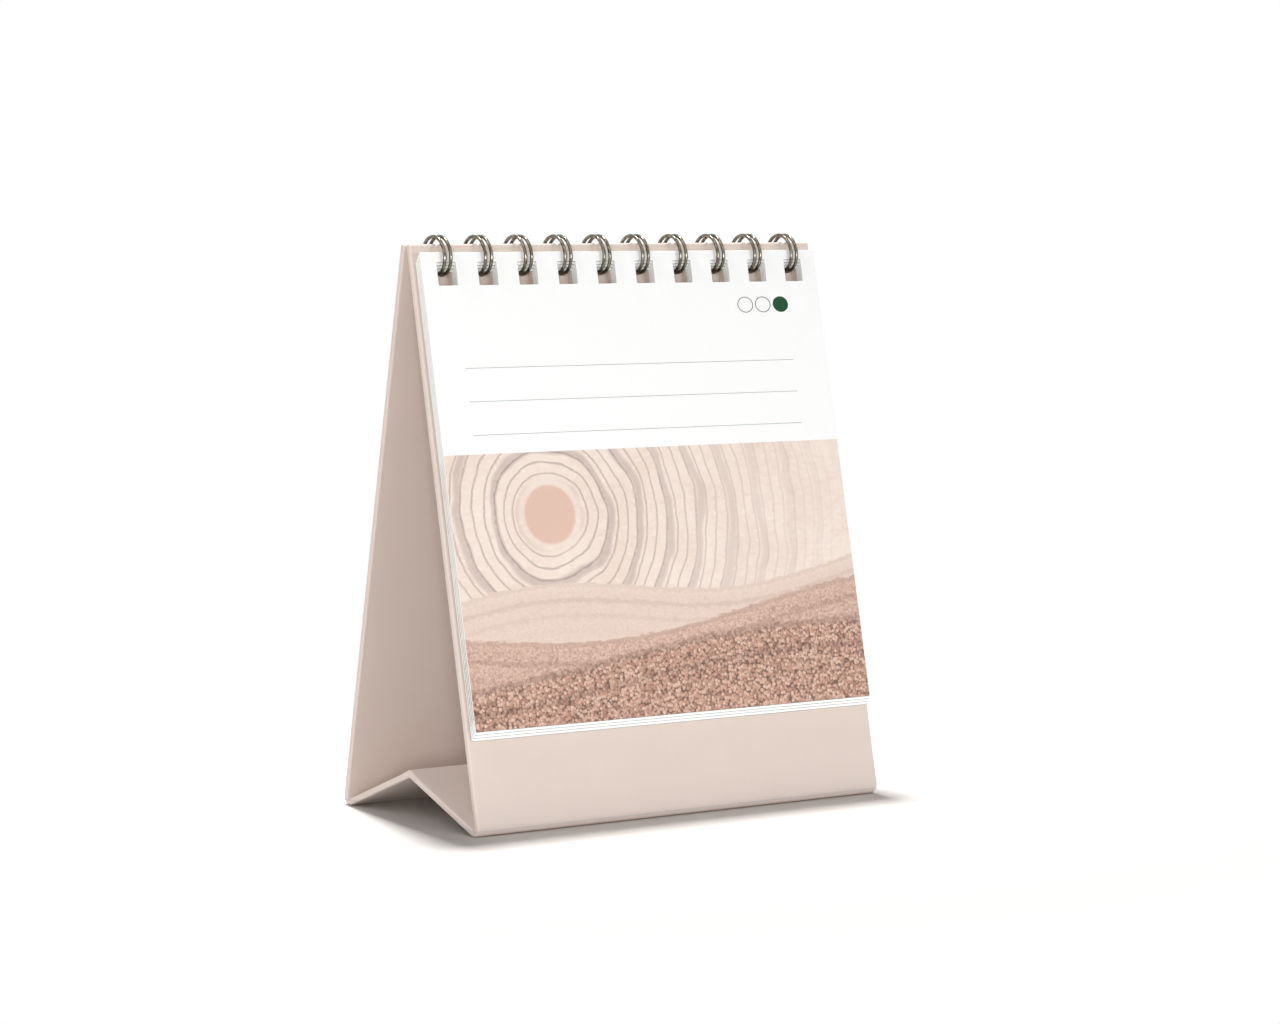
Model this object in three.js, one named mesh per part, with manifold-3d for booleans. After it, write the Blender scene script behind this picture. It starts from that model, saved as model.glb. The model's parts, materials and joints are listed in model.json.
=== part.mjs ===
// Desk flip book of thick card leaves on a folding greyboard easel, bound with a twin-loop wire.
// Millimetres, +Z up. X runs across the book, the leaves face -Y, and the easel stands on z = 0
// with its footprint centred on the origin.

import * as THREE from 'three';
import { mergeVertices } from 'three/addons/utils/BufferGeometryUtils.js';
import Module from 'manifold-3d';

const wasm = await Module();
wasm.setup();

// Easel
const boardWidth = 132;
const boardLength = 154.8; // from the fold at the foot to the top edge
const leanAngle = THREE.MathUtils.degToRad(12.18); // of each board from the vertical
const topGap = 0.3; // between the two boards' inner top edges
const ridgeHeight = 13.7; // top of the fold in the middle of the base

// Layers of a wrapped board, from its inner face outwards
const linerThickness = 0.2;
const coverThickness = 0.25;
const coreThickness = 1.3;
const glueGap = 0.05;
const turnIn = 12; // width of cover paper folded onto the inner face
const linerInset = 3; // bare border round the liner
const edgeRadius = 0.6;

// Folds
const foldSlack = 0.4; // from a fold's axis to the faces that close on it
const footFlat = 0.05; // depth of the flat that the table presses into a foot
const ridgeSetback = 4; // length of each base panel that is crushed into the ridge fold

// Punching and wire
const loopPitch = 12.7;
const punchMargin = 4; // least card between an outermost hole and the leaf's side
const wireDiameter = 0.95;
const loopRadius = 5.85; // to the middle of the wire
const loopSpread = 1.9; // between the two wires of a loop
const loopFrontOffset = 1.5; // of the wire's axis in front of the middle of the easel
const loopDrop = 3.9; // of the wire's axis below the boards' top corners
const boardHoleWidth = 6;
const boardHoleHeight = 7;
const boardHoleMargin = 5;
const holeCorner = 0.6;

// Seam of the wire behind the rear board, as angles round its axis, from the rear (+Y) upwards
const seamBarAngle = THREE.MathUtils.degToRad(-12);
const seamTipAngle = THREE.MathUtils.degToRad(14.5);
const seamBend = 0.7; // radius of the bend from a loop into a seam bar

// Leaves
const leafCount = 4;
const leafInset = 1; // of the leaves' sides from the board's
const leafLength = 127.6;
const leafThickness = 0.45;
const leafGap = 0.3;
const leafDrop = 2.9; // of the front leaf's top edge below the board's
const leafStep = 0.72; // how much lower each deeper leaf hangs
const leafHoleWidth = 5.9;
const leafHoleHeight = 6.15;
const leafHoleMargin = 2.8;
const leafCorner = 0.8;

// Facets
const wireSides = 6;
const loopSteps = 16;
const bendSteps = 3;
const foldSteps = 6;
const roundSteps = 1; // an arc gets twice as many

const coreInner = linerThickness + coverThickness + 2 * glueGap;
const coreOuter = coreInner + coreThickness;
const boardThickness = coreOuter + glueGap + coverThickness;
const foldRadius = boardThickness + foldSlack;
const foldSlit = glueGap / foldRadius; // angle between a fold's strip and what it meets

const footHeight = foldRadius - footFlat;
const footY = boardLength * Math.sin(leanAngle) + topGap / 2 - foldSlack * Math.cos(leanAngle);
const ridgeAxisHeight = ridgeHeight - foldRadius;
const footToRidge = Math.hypot(footY, ridgeAxisHeight - footHeight);
const baseRise = Math.asin((2 * foldSlack + boardThickness) / footToRidge);
const baseAngle = Math.atan2(ridgeAxisHeight - footHeight, footY) + baseRise;
const baseLength = footToRidge * Math.cos(baseRise);

const boardTop = footHeight + (foldSlack + boardThickness) * Math.sin(leanAngle)
  + boardLength * Math.cos(leanAngle);
const wireAxis = { y: -loopFrontOffset, z: boardTop - loopDrop };
const leafWidth = boardWidth - 2 * leafInset;
const loopCount = 1 + Math.floor((leafWidth - leafHoleWidth - 2 * punchMargin) / loopPitch);

const materials = {
  cover: { color: 0xddcfc6, roughness: 0.82, metalness: 0 },
  liner: { color: 0xd5c6bb, roughness: 0.86, metalness: 0 },
  core: { color: 0xa99a8a, roughness: 0.95, metalness: 0 },
  leaf: { color: 0xf4f3ec, roughness: 0.7, metalness: 0 },
  wire: { color: 0x5b5548, roughness: 0.32, metalness: 0.9 },
};

// Closed geometry to solid, and back
function toSolid(geometry) {
  const bare = geometry.clone();
  bare.deleteAttribute('normal');
  bare.deleteAttribute('uv');
  const merged = mergeVertices(bare, 1e-5);
  return new wasm.Manifold(new wasm.Mesh({
    numProp: 3,
    vertProperties: new Float32Array(merged.attributes.position.array),
    triVerts: new Uint32Array(merged.index.array),
  }));
}

function toGeometry(solid) {
  const mesh = solid.getMesh();
  const geometry = new THREE.BufferGeometry();
  geometry.setAttribute('position', new THREE.BufferAttribute(new Float32Array(mesh.vertProperties), 3));
  geometry.setIndex(new THREE.BufferAttribute(new Uint32Array(mesh.triVerts), 1));
  geometry.computeVertexNormals();
  return geometry;
}

function roundedRect(x0, x1, y0, y1, radius) {
  const shape = new THREE.Shape();
  shape.moveTo(x0 + radius, y0);
  shape.lineTo(x1 - radius, y0);
  shape.absarc(x1 - radius, y0 + radius, radius, -Math.PI / 2, 0, false);
  shape.lineTo(x1, y1 - radius);
  shape.absarc(x1 - radius, y1 - radius, radius, 0, Math.PI / 2, false);
  shape.lineTo(x0 + radius, y1);
  shape.absarc(x0 + radius, y1 - radius, radius, Math.PI / 2, Math.PI, false);
  shape.lineTo(x0, y0 + radius);
  shape.absarc(x0 + radius, y0 + radius, radius, Math.PI, 1.5 * Math.PI, false);
  return shape;
}

function slab(shape, from, to) {
  const geometry = new THREE.ExtrudeGeometry(shape, {
    depth: to - from, bevelEnabled: false, curveSegments: roundSteps,
  });
  return geometry.translate(0, 0, from);
}

// A drawing in (x, z), drawn out along Y from 0
function extrudeAlong(shape, length) {
  return slab(shape, -length, 0).rotateX(Math.PI / 2);
}

// A drawing in (y, z), drawn out along X and centred on it
function extrudeAcross(shape, width, curveSegments = roundSteps) {
  const geometry = new THREE.ExtrudeGeometry(shape, { depth: width, bevelEnabled: false, curveSegments });
  geometry.translate(0, 0, -width / 2);
  return geometry.applyMatrix4(new THREE.Matrix4().makeBasis(
    new THREE.Vector3(0, 1, 0),
    new THREE.Vector3(0, 0, 1),
    new THREE.Vector3(1, 0, 0),
  ));
}

function box(halfWidth, y0, y1, z0, z1) {
  const geometry = new THREE.BoxGeometry(2 * halfWidth, y1 - y0, z1 - z0);
  return toSolid(geometry.translate(0, (y0 + y1) / 2, (z0 + z1) / 2));
}

function loopX(index) {
  return (index - (loopCount - 1) / 2) * loopPitch;
}

// The outlines of a row of punched holes, with their top edges at y = top
function holeRow(top, width, height) {
  return Array.from({ length: loopCount }, (_, i) => roundedRect(
    loopX(i) - width / 2, loopX(i) + width / 2, top - height, top, holeCorner,
  ));
}

// A board lies with its liner on z = 0 and its cover outwards. y runs from one fold to the far
// edge, which is either turned in, like the two sides, or open to the next fold.
function coreOfBoard(length, openEnd) {
  const wall = coverThickness + glueGap;
  return box(boardWidth / 2 - wall, 0, openEnd ? length : length - wall, coreInner, coreOuter);
}

function coverOfBoard(length, openEnd) {
  const half = boardWidth / 2;
  const face = linerThickness + glueGap;
  const past = boardThickness;
  const section = toSolid(extrudeAlong(
    roundedRect(-half, half, face, boardThickness, edgeRadius), length,
  ));
  const farEdge = openEnd ? length + past : length;
  const profile = toSolid(extrudeAcross(
    roundedRect(-past, farEdge, face, boardThickness, edgeRadius), boardWidth + 2 * past,
  ));
  const pocket = box(
    half - coverThickness, -past, farEdge - coverThickness, coreInner - glueGap, coreOuter + glueGap,
  );
  const window = box(half - turnIn, -past, openEnd ? farEdge : length - turnIn, -past, coreInner);
  return section.intersect(profile).subtract(pocket).subtract(window);
}

function linerOfBoard(length, openEnd) {
  return box(boardWidth / 2 - linerInset, 0, openEnd ? length : length - linerInset, 0, linerThickness);
}

function punched(solid) {
  const past = boardThickness;
  return holeRow(boardLength - boardHoleMargin, boardHoleWidth, boardHoleHeight).reduce(
    (rest, outline) => rest.subtract(toSolid(slab(outline, -past, 2 * past))),
    solid,
  );
}

function mesh(name, geometry, finish) {
  const made = new THREE.Mesh(geometry, new THREE.MeshStandardMaterial(materials[finish]));
  made.name = name;
  return made;
}

// The three layers of one board, in the board's own frame
function board(name, length, { openEnd = false, holes = false } = {}) {
  const group = new THREE.Group();
  const layers = [
    ['core', coreOfBoard(length, openEnd), 'core'],
    ['cover', coverOfBoard(length, openEnd), 'cover'],
    ['liner', linerOfBoard(length, openEnd), 'liner'],
  ];
  for (const [layer, solid, finish] of layers) {
    group.add(mesh(`${name}_${layer}`, toGeometry(holes ? punched(solid) : solid), finish));
  }
  return group;
}

// The bent strip of crushed board and paper at a foot, round the fold's axis
function footFold(name) {
  const start = Math.PI - leanAngle + foldSlit;
  const end = 1.5 * Math.PI + baseAngle - foldSlit;
  const shape = new THREE.Shape();
  shape.absarc(0, 0, foldRadius, start, end, false);
  shape.absarc(0, 0, foldSlack, end, start, true);
  const strip = toSolid(extrudeAcross(shape, boardWidth, foldSteps));
  const table = box(boardWidth, -foldRadius - 1, foldRadius + 1, -foldRadius - 1, -footHeight);
  const made = mesh(name, toGeometry(strip.subtract(table)), 'cover');
  made.position.set(0, -footY, footHeight);
  return made;
}

// Half of the strip at the ridge: a crushed edge that goes on in the panel's line, then bends level
function ridgeFold(name) {
  const along = new THREE.Vector2(Math.cos(baseAngle), Math.sin(baseAngle));
  const start = Math.PI / 2 + baseAngle;
  const end = Math.PI / 2 + foldSlit;
  const back = (radius) => new THREE.Vector2(Math.cos(start), Math.sin(start))
    .multiplyScalar(radius).addScaledVector(along, glueGap - ridgeSetback);
  const inner = back(foldSlack);
  const outer = back(foldRadius);
  const shape = new THREE.Shape();
  shape.moveTo(inner.x, inner.y);
  shape.absarc(0, 0, foldSlack, start, end, true);
  shape.absarc(0, 0, foldRadius, end, start, false);
  shape.lineTo(outer.x, outer.y);
  const made = mesh(name, extrudeAcross(shape, boardWidth), 'cover');
  made.position.set(0, 0, ridgeAxisHeight);
  return made;
}

function leaf(index) {
  const top = boardLength - leafDrop - index * leafStep;
  const shape = roundedRect(-leafWidth / 2, leafWidth / 2, top - leafLength, top, leafCorner);
  shape.holes = holeRow(top - leafHoleMargin, leafHoleWidth, leafHoleHeight);
  const inner = boardThickness + leafGap + (leafCount - 1 - index) * (leafThickness + leafGap);
  return mesh(`leaf_${index + 1}`, slab(shape, inner, inner + leafThickness), 'leaf');
}

// A path that is followed station by station, so that tight bends get short steps
class WirePath extends THREE.Curve {
  constructor(stations) {
    super();
    this.stations = stations;
  }

  getPoint(t) {
    const place = t * (this.stations.length - 1);
    const before = Math.min(Math.floor(place), this.stations.length - 2);
    return this.stations[before].clone().lerp(this.stations[before + 1], place - before);
  }

  getPointAt(u) {
    return this.getPoint(u);
  }

  getTangentAt(u) {
    const last = this.stations.length - 1;
    const here = Math.round(u * last);
    const next = this.stations[Math.min(here + 1, last)];
    return next.clone().sub(this.stations[Math.max(here - 1, 0)]).normalize();
  }
}

// Every station lies on the wire's cylinder, at x and at an angle round its axis
function onLoop(x, angle) {
  return new THREE.Vector3(
    x,
    wireAxis.y + loopRadius * Math.cos(angle),
    wireAxis.z + loopRadius * Math.sin(angle),
  );
}

// One wire makes all the loops. Each starts at the seam behind the rear board, goes in through that
// board's hole and out through the front one, up over the top and down the rear to its rounded tip,
// and returns beside itself to the bar that leads to the next loop.
function wireStations() {
  const stations = [];
  const root = seamBarAngle + 2 * Math.PI - seamBend / loopRadius;
  const side = loopSpread / 2;
  const turn = (steps, place) => {
    for (let i = 1; i < steps; i += 1) stations.push(place((i / steps) * Math.PI));
  };
  const arc = (x, from, to) => {
    for (let i = 0; i <= loopSteps; i += 1) {
      stations.push(onLoop(x, THREE.MathUtils.lerp(from, to, i / loopSteps)));
    }
  };
  for (let i = 0; i < loopCount; i += 1) {
    const left = loopX(i) - side;
    const right = loopX(i) + side;
    if (i > 0) {
      for (let k = 0; k < bendSteps; k += 1) {
        const phi = (k / bendSteps) * (Math.PI / 2);
        stations.push(onLoop(
          left - seamBend * (1 - Math.sin(phi)), root + (seamBend * Math.cos(phi)) / loopRadius,
        ));
      }
    }
    arc(left, root, seamTipAngle);
    turn(2 * bendSteps, (phi) => onLoop(
      loopX(i) - side * Math.cos(phi), seamTipAngle - (side * Math.sin(phi)) / loopRadius,
    ));
    arc(right, seamTipAngle, root);
    if (i < loopCount - 1) {
      for (let k = 1; k <= bendSteps; k += 1) {
        const phi = (k / bendSteps) * (Math.PI / 2);
        stations.push(onLoop(
          right + seamBend * (1 - Math.cos(phi)), root + (seamBend * Math.sin(phi)) / loopRadius,
        ));
      }
    }
  }
  return stations;
}

function bindingWire() {
  const path = new WirePath(wireStations());
  const section = new THREE.Shape(Array.from({ length: wireSides }, (_, i) => {
    const angle = (i / wireSides) * 2 * Math.PI;
    return new THREE.Vector2(Math.cos(angle), Math.sin(angle)).multiplyScalar(wireDiameter / 2);
  }));
  const geometry = new THREE.ExtrudeGeometry(section, {
    steps: path.stations.length - 1, extrudePath: path, bevelEnabled: false,
  });
  return mesh('binding_wire', geometry, 'wire');
}

// One board and one base panel with the folds that they carry. The rear half of the easel is the
// front half turned round.
function easelHalf(side) {
  const half = new THREE.Group();
  const upright = board(`${side}_board`, boardLength, { holes: true });
  upright.rotation.x = Math.PI / 2 - leanAngle;
  upright.position.set(
    0,
    -footY - foldSlack * Math.cos(leanAngle),
    footHeight + foldSlack * Math.sin(leanAngle),
  );
  const panel = board(`${side}_base`, baseLength - ridgeSetback, { openEnd: true });
  panel.rotation.set(Math.PI + baseAngle, 0, Math.PI);
  panel.position.set(
    0,
    -footY + foldSlack * Math.sin(baseAngle),
    footHeight - foldSlack * Math.cos(baseAngle),
  );
  half.add(upright, panel, footFold(`${side}_foot_fold`), ridgeFold(`${side}_ridge_fold`));
  return { half, upright };
}

const book = new THREE.Group();
const front = easelHalf('front');
const rear = easelHalf('rear');
rear.half.rotation.z = Math.PI;
for (let i = 0; i < leafCount; i += 1) front.upright.add(leaf(i));
book.add(front.half, rear.half, bindingWire());

export default book;
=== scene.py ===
"""A desk flip book on a folding easel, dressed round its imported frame.

The wrapped greyboard easel, the card leaves and the twin-loop wire are rebuilt in full over the
frame's solids. Sizes are in metres unless a docstring says millimetres, X runs across the book,
the leaves face -Y and Z is up. A finish holds its colours, cells and lengths as fields. The
thresholds and shares of its noise patterns stand where they are mixed.
"""

from __future__ import annotations

import json
import logging
import math
from collections.abc import Callable, Mapping, Sequence
from dataclasses import dataclass, field
from enum import Enum
from typing import Any

import bmesh
import bpy
from mathutils import Euler, Matrix, Vector

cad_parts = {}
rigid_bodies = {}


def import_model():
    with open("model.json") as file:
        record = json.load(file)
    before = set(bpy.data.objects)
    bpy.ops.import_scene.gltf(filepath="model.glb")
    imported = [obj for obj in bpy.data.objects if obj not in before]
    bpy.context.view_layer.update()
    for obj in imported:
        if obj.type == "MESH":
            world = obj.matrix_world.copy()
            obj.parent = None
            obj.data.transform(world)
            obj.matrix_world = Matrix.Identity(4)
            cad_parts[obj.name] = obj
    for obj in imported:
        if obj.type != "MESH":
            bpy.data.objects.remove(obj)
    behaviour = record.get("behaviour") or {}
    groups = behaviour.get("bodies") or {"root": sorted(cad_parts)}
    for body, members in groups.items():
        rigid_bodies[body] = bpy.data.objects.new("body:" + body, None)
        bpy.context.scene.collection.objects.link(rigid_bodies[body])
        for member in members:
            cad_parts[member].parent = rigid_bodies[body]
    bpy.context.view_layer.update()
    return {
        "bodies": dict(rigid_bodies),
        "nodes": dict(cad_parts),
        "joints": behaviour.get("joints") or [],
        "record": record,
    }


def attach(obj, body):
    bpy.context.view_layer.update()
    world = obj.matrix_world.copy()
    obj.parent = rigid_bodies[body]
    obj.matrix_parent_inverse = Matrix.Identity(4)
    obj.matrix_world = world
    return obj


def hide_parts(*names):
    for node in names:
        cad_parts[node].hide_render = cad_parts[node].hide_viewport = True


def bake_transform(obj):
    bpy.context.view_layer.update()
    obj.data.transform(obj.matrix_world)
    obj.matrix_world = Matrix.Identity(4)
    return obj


log = logging.getLogger("flip_book")

MM = 0.001
SHARP_ANGLE = math.radians(35)
WELD = 1e-7

Colour = tuple[float, float, float, float]
Point2 = tuple[float, float]
Point3 = tuple[float, float, float]


def srgb(red: int, green: int, blue: int) -> Colour:
    """Turns a colour as it looks on screen into Blender's linear one.

    Args:
        red: Red, 0 to 255.
        green: Green, 0 to 255.
        blue: Blue, 0 to 255.

    Returns:
        The linear colour with an alpha of 1.
    """

    def linear(value: int) -> float:
        """Returns one channel's linear share."""
        share = value / 255
        return share / 12.92 if share <= 0.04045 else ((share + 0.055) / 1.055) ** 2.4

    return linear(red), linear(green), linear(blue), 1.0


def scaled(colour: Colour, factor: float) -> Colour:
    """Returns the colour made lighter or darker by a factor."""
    return colour[0] * factor, colour[1] * factor, colour[2] * factor, 1.0


class Slot(Enum):
    """The record's material slots."""

    COVER = "cover"
    LINER = "liner"
    LEAF = "leaf"
    WIRE = "wire"


class Side(Enum):
    """The two halves of the easel."""

    FRONT = "front"
    REAR = "rear"

    @property
    def turn(self) -> Matrix:
        """The turn about Z that takes the front half to this one."""
        return Matrix.Rotation(0.0 if self is Side.FRONT else math.pi, 4, "Z")


class LeafSide(Enum):
    """The sides of a card leaf, in the order of its materials."""

    CUT_EDGE = 0
    BACK = 1
    BURR = 2
    # The lower bevels, which carry painted shade.
    PRINT = 3


class Socket:
    """An output of a node, on which shader maths is written as Python expressions."""

    def __init__(self, graph: Graph, output: bpy.types.NodeSocket) -> None:
        """Wraps an output.

        Args:
            graph: The graph that holds the node.
            output: The node's output.
        """
        self.graph = graph
        self.output = output

    def __add__(self, other: Value) -> Socket:
        """Returns the sum."""
        return self.graph.math("ADD", self, other)

    def __radd__(self, other: Value) -> Socket:
        """Returns the sum."""
        return self.graph.math("ADD", other, self)

    def __sub__(self, other: Value) -> Socket:
        """Returns the difference."""
        return self.graph.math("SUBTRACT", self, other)

    def __rsub__(self, other: Value) -> Socket:
        """Returns the difference, the other way round."""
        return self.graph.math("SUBTRACT", other, self)

    def __mul__(self, other: Value) -> Socket:
        """Returns the product."""
        return self.graph.math("MULTIPLY", self, other)

    def __rmul__(self, other: Value) -> Socket:
        """Returns the product."""
        return self.graph.math("MULTIPLY", other, self)

    def __truediv__(self, other: Value) -> Socket:
        """Returns the quotient."""
        return self.graph.math("DIVIDE", self, other)

    def __lt__(self, other: Value) -> Socket:
        """Returns 1 where this is less."""
        return self.graph.math("LESS_THAN", self, other)

    def __gt__(self, other: Value) -> Socket:
        """Returns 1 where this is greater."""
        return self.graph.math("GREATER_THAN", self, other)

    def __abs__(self) -> Socket:
        """Returns the size without the sign."""
        return self.graph.math("ABSOLUTE", self)

    def smooth(self, low: float, high: float) -> Socket:
        """Rises smoothly from 0 to 1.

        Args:
            low: The value at which the result is 0.
            high: The value at which the result is 1. It may be below low.

        Returns:
            The step.
        """
        falling = low > high
        node = self.graph.node(
            "ShaderNodeMapRange",
            {"interpolation_type": "SMOOTHSTEP"},
            {
                "Value": self,
                "From Min": min(low, high),
                "From Max": max(low, high),
                "To Min": 1.0 if falling else 0.0,
                "To Max": 0.0 if falling else 1.0,
            },
        )
        return Socket(self.graph, node.outputs["Result"])


Value = Socket | float


class Graph:
    """A node tree that is being built."""

    def __init__(self, tree: bpy.types.NodeTree) -> None:
        """Starts on a tree, which is emptied.

        Args:
            tree: The tree.
        """
        self.tree = tree
        tree.nodes.clear()

    def node(
        self,
        kind: str,
        settings: Mapping[str, Any] | None = None,
        sockets: Mapping[str | int, Any] | None = None,
    ) -> bpy.types.Node:
        """Adds a node.

        Args:
            kind: The node's type.
            settings: Its properties, which are set first.
            sockets: What goes into its inputs: a number, a colour or another node's output.

        Returns:
            The node.
        """
        node = self.tree.nodes.new(kind)
        for name, value in (settings or {}).items():
            setattr(node, name, value)
        for name, value in (sockets or {}).items():
            if isinstance(value, Socket):
                self.tree.links.new(value.output, node.inputs[name])
            else:
                node.inputs[name].default_value = value
        return node

    def out(self, node: bpy.types.Node, name: str | int = 0) -> Socket:
        """Returns one output of a node."""
        return Socket(self, node.outputs[name])

    def math(self, operation: str, first: Value, second: Value = 0.0) -> Socket:
        """Adds a Math node.

        Args:
            operation: What it works out.
            first: Its first number.
            second: Its second number, where it takes one.

        Returns:
            The result.
        """
        node = self.node("ShaderNodeMath", {"operation": operation}, {0: first, 1: second})
        return self.out(node)

    def mix(self, factor: Value, first: Socket | Colour, second: Socket | Colour) -> Socket:
        """Mixes two colours.

        Args:
            factor: The share of the second colour.
            first: The first colour.
            second: The second colour.

        Returns:
            The mixed colour.
        """
        # A Mix node's sockets share their names, so its colours go by number: 6, 7 and out of 2.
        node = self.node("ShaderNodeMix", {"data_type": "RGBA"}, {0: factor, 6: first, 7: second})
        return self.out(node, 2)

    def noise(self, vector: Socket, scale: float, detail: float) -> Socket:
        """Adds a noise pattern.

        Args:
            vector: Where it is read.
            scale: Its cells to the metre.
            detail: How many finer layers it has.

        Returns:
            A number that is mostly between 0.3 and 0.7.
        """
        node = self.node(
            "ShaderNodeTexNoise", None, {"Vector": vector, "Scale": scale, "Detail": detail}
        )
        return self.out(node)

    def rays(self, *kinds: str) -> Socket:
        """Picks out the rays that see a surface in one of some ways.

        Args:
            kinds: Those ways, as the Light Path node names them.

        Returns:
            1 for such a ray.
        """
        path = self.node("ShaderNodeLightPath")
        seen = self.out(path, kinds[0])
        for kind in kinds[1:]:
            seen = self.math("MAXIMUM", seen, self.out(path, kind))
        return seen

    def bump(self, height: Socket, distance: float, strength: float) -> Socket:
        """Turns a height into a normal.

        Args:
            height: The height, 0 to 1.
            distance: What a height of 1 stands for.
            strength: How strongly it shows.

        Returns:
            The normal.
        """
        node = self.node(
            "ShaderNodeBump", None, {"Height": height, "Distance": distance, "Strength": strength}
        )
        return self.out(node)


@dataclass
class Finish:
    """A new material on Object coordinates.

    Attributes:
        name: Its name.
        graph: Its node tree.
        place: The object coordinates.
        material: The material itself.
    """

    name: str
    graph: Graph = field(init=False)
    place: Socket = field(init=False)
    material: bpy.types.Material = field(init=False)

    def __post_init__(self) -> None:
        """Makes the material and its coordinates."""
        self.material = bpy.data.materials.new(self.name)
        self.material.use_nodes = True
        self.graph = Graph(self.material.node_tree)
        self.place = self.graph.out(self.graph.node("ShaderNodeTexCoord"), "Object")

    def stretched(self, cells: Point3) -> Socket:
        """Returns the coordinates scaled along each axis, by cells to the metre."""
        node = self.graph.node("ShaderNodeMapping", None, {"Vector": self.place, "Scale": cells})
        return self.graph.out(node)

    def axes(self) -> tuple[Socket, Socket, Socket]:
        """Takes the coordinates apart.

        Returns:
            The places along X, Y and Z, in millimetres.
        """
        node = self.graph.node("ShaderNodeSeparateXYZ", None, {0: self.place})
        x, y, z = (self.graph.out(node, i) * (1 / MM) for i in range(3))
        return x, y, z

    def close(self, sockets: Mapping[str, Any]) -> bpy.types.Material:
        """Ends the material with its shader.

        Args:
            sockets: What goes into the Principled shader.

        Returns:
            The material.
        """
        shader = self.graph.node("ShaderNodeBsdfPrincipled", None, sockets)
        self.graph.node(
            "ShaderNodeOutputMaterial", None, {"Surface": self.graph.out(shader, "BSDF")}
        )
        return self.material


@dataclass(frozen=True)
class WrapPaper:
    """Uncoated cover paper with a fine tooth, loose fibres and a painted shade line low along each
    foot's fold.

    Attributes:
        name: The material's name.
        colour: The paper's colour.
        crease_shade: The colour of the painted shade line low along each foot's fold.
        crease_shade_height: The height of that line, in millimetres.
        crease_shade_reach: How far from that height the line is full and is gone, in millimetres.
        edge: The half widths from where the folded edge is rubbed lighter and where it is fully
            so, in millimetres.
        rub: How much of the rubbed colour shows on that edge.
        cloud_cells: The broad tone's cells to the metre.
        tooth_cells: The fine tooth's cells to the metre.
        fibre_cells: The loose fibres' cells to the metre, along each axis.
        tooth_depth: How deep the tooth is.
    """

    name: str
    colour: Colour
    crease_shade: Colour = srgb(203, 195, 193)
    crease_shade_height: float = 1.5
    crease_shade_reach: Point2 = (0.1, 0.4)
    edge: Point2 = (65.5, 66.0)
    rub: float = 0.3
    cloud_cells: float = 60.0
    tooth_cells: float = 2600.0
    fibre_cells: Point3 = (260.0, 1900.0, 1900.0)
    tooth_depth: float = 0.03 * MM

    def build(self) -> bpy.types.Material:
        """Makes the material.

        Returns:
            The material.
        """
        finish = Finish(self.name)
        graph = finish.graph
        cloud = graph.noise(finish.place, self.cloud_cells, 3.0)
        tooth = graph.noise(finish.place, self.tooth_cells, 4.0)
        fibre = graph.noise(finish.stretched(self.fibre_cells), 1.0, 3.0)
        x, _, z = finish.axes()
        tone = graph.mix(
            cloud.smooth(0.3, 0.7), scaled(self.colour, 0.99), scaled(self.colour, 1.008)
        )
        tone = graph.mix(tooth.smooth(0.35, 0.65) * 0.3, tone, scaled(self.colour, 0.955))
        tone = graph.mix(fibre.smooth(0.6, 0.75) * 0.2, tone, scaled(self.colour, 1.06))
        rubbed = abs(x).smooth(*self.edge) * cloud.smooth(0.25, 0.6) * self.rub
        tone = graph.mix(rubbed, tone, scaled(self.colour, 1.08))
        # Painted shade: a darker line at one height, low along each foot's fold, on every face at
        # that height.
        full, gone = self.crease_shade_reach
        pressed = abs(z - self.crease_shade_height).smooth(gone, full) * 0.75
        tone = graph.mix(pressed, tone, self.crease_shade)
        height = tooth * 0.7 + fibre * 0.3
        return finish.close(
            {
                "Base Color": tone,
                "Roughness": 0.76 + tooth * 0.14,
                "Normal": graph.bump(height, self.tooth_depth, 0.35),
                "Specular IOR Level": 0.28,
            }
        )


@dataclass(frozen=True)
class Greyboard:
    """The cut edge and faces of pressed board, with layers and flecks.

    Attributes:
        colour: The board's colour.
        fleck: The colour of its darker flecks.
        pulp_cells: The flecks' cells to the metre.
        layer_cells: The pressed layers' cells to the metre, along each axis.
        depth: How deep the fibres are.
    """

    colour: Colour = srgb(226, 209, 198)
    fleck: Colour = srgb(196, 176, 162)
    pulp_cells: float = 1400.0
    layer_cells: Point3 = (120.0, 4200.0, 700.0)
    depth: float = 0.06 * MM

    def build(self) -> bpy.types.Material:
        """Makes the material.

        Returns:
            The material.
        """
        finish = Finish("greyboard")
        graph = finish.graph
        pulp = graph.noise(finish.place, self.pulp_cells, 4.0)
        layers = graph.noise(finish.stretched(self.layer_cells), 1.0, 2.0)
        tone = graph.mix(
            layers.smooth(0.35, 0.65), scaled(self.colour, 0.93), scaled(self.colour, 1.05)
        )
        tone = graph.mix(pulp.smooth(0.58, 0.72) * 0.55, tone, self.fleck)
        return finish.close(
            {
                "Base Color": tone,
                "Roughness": 0.9,
                "Normal": graph.bump(pulp * 0.6 + layers * 0.4, self.depth, 0.5),
                "Specular IOR Level": 0.2,
            }
        )


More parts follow.
